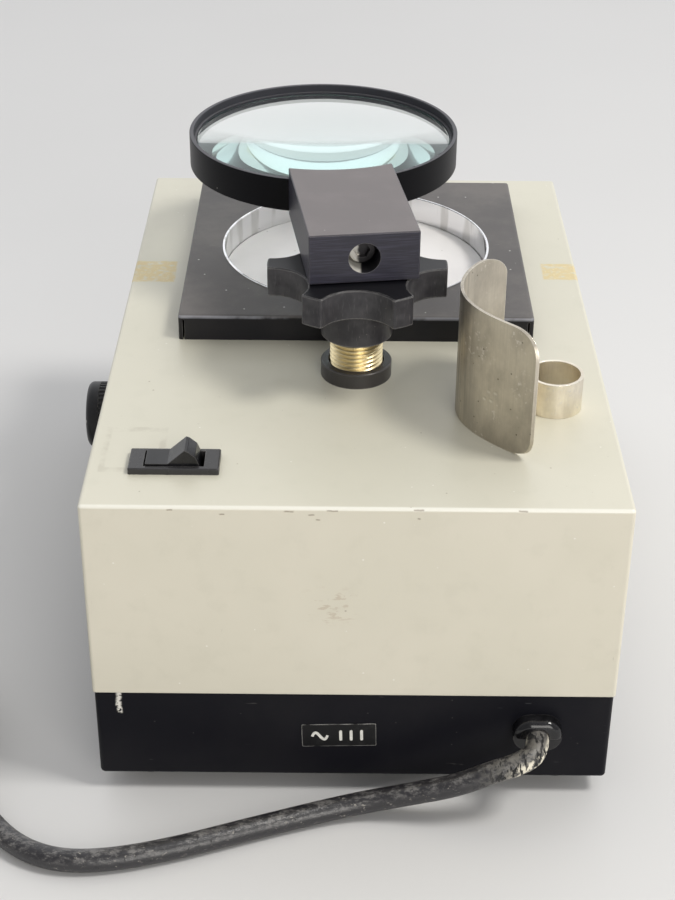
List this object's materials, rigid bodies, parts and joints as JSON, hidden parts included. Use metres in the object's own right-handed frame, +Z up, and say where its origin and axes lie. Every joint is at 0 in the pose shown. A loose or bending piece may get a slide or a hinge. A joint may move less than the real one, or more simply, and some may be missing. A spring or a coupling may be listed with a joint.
{
  "type": "lens inspection magnifier",
  "caption": "Low instrument box with a lit round stage in a square plate and a swinging magnifier on a threaded, knob-adjusted post.",
  "frame": {"origin": "on the bench, under the centre of the box", "axes": "+Z up, +Y away from the side where the cord comes out, +X to the right seen from that side"},
  "size_m": [0.3378, 0.3485, 0.1801],
  "materials": {
    "black_paint": "satin black paint, worn at the edges",
    "beige_paint": "fine-textured beige-grey enamel, chipped at the front edge",
    "zinc_steel": "plain plated steel",
    "screw_black": "blackened steel",
    "rubber_black": "aged black rubber",
    "mirror_steel": "polished",
    "opal": "translucent opal disc",
    "reflector_aluminium": "spun, half bright",
    "ceramic_white": "glazed",
    "bulb_glass": "frosted",
    "core_iron": "varnished laminations",
    "coil_paper": "varnished insulating paper",
    "black_bakelite": "moulded black, paler at worn edges",
    "green_screw": "green passivated",
    "gloss_black": "moulded, shiny",
    "brass_bright": "turned brass, slightly tarnished",
    "shaft_steel": "turned",
    "pointer_white": "white paint fill",
    "collar_black": "black with a bright chamfer",
    "anodised_black": "black anodised, brushed, dusty",
    "lens_glass": "clear with a faint green edge",
    "tape_black": "embossing tape",
    "tape_white": "raised marks",
    "wire_cloth": "cloth-covered wire",
    "nickel_sheet": "nickel-plated sheet, tarnished"
  },
  "bodies": {
    "housing": {"base_tray": "black_paint", "stage_pan": "black_paint", "lamp_stand": "black_paint", "housing_cover": "beige_paint", "cover_brackets": "zinc_steel", "foot_screws": "zinc_steel", "stage_studs": "zinc_steel", "stage_nuts": "zinc_steel", "chassis_screws": "zinc_steel", "terminal_screws": "zinc_steel", "focus_backplate": "zinc_steel", "focus_nut": "zinc_steel", "transformer_frame": "zinc_steel", "dimmer_nut": "zinc_steel", "cover_screws": "screw_black", "rubber_feet": "rubber_black", "power_cord": "rubber_black", "cord_coil": "rubber_black", "cord_tail": "rubber_black", "stage_ring": "mirror_steel", "diffuser_disc": "opal", "lamp_reflector": "reflector_aluminium", "lamp_socket": "ceramic_white", "lamp_bulb": "bulb_glass", "transformer_core": "core_iron", "transformer_coil": "coil_paper", "terminal_strip": "black_bakelite", "switch_bezel": "black_bakelite", "dimmer_body": "black_bakelite", "ground_screw": "green_screw", "strain_relief": "gloss_black", "plug_body": "gloss_black", "switch_terminals": "brass_bright", "focus_screw": "brass_bright", "plug_blades": "brass_bright", "focus_collar": "collar_black", "voltage_label": "tape_black", "label_marks": "tape_white", "internal_wires": "wire_cloth"},
    "focus_carriage": {"thrust_washer": "zinc_steel"},
    "focus_knob": {"focus_knob": "black_bakelite"},
    "magnifier_arm": {"arm_block": "anodised_black", "guide_rod": "zinc_steel", "arm_screw": "shaft_steel", "lens_ring": "anodised_black", "magnifier_lens": "lens_glass", "lens_retainer": "anodised_black"},
    "switch_rocker": {"switch_rocker": "gloss_black"},
    "dimmer_spindle": {"dimmer_shaft": "shaft_steel", "dimmer_knob": "black_bakelite", "knob_pointer": "pointer_white", "knob_set_screw": "screw_black"},
    "guard": {"guard_plate": "nickel_sheet", "finger_ring": "nickel_sheet"}
  },
  "joints": [
    {"name": "focus_travel", "type": "slide", "parent": "housing", "child": "focus_carriage", "axis": [0, 0, 1], "range_m": [-0.01, 0.008]},
    {"name": "focus_knob_turn", "type": "hinge", "parent": "focus_carriage", "child": "focus_knob", "pos_m": [0, -0.0455, 0.1536], "axis": [0, 0, 1], "range_deg": [-2268, 1815]},
    {"name": "arm_swing", "type": "hinge", "parent": "focus_carriage", "child": "magnifier_arm", "pos_m": [0, -0.0455, 0.1621], "axis": [0, 0, 1], "range_deg": [-58, 110]},
    {"name": "switch_rock", "type": "hinge", "parent": "housing", "child": "switch_rocker", "pos_m": [-0.0599, -0.1099, 0.1146], "axis": [0, 1, 0], "range_deg": [0, 16]},
    {"name": "dimmer_turn", "type": "hinge", "parent": "housing", "child": "dimmer_spindle", "pos_m": [-0.0889, -0.0115, 0.0806], "axis": [1, 0, 0], "range_deg": [-150, 150]},
    {"name": "guard_lift", "type": "slide", "parent": "housing", "child": "guard", "axis": [0, 0, 1], "range_m": [0, 0.12]}
  ],
  "couplings": [
    {"joint": "focus_knob_turn", "follows": "focus_travel", "rad_per_m": 3957.9}
  ]
}
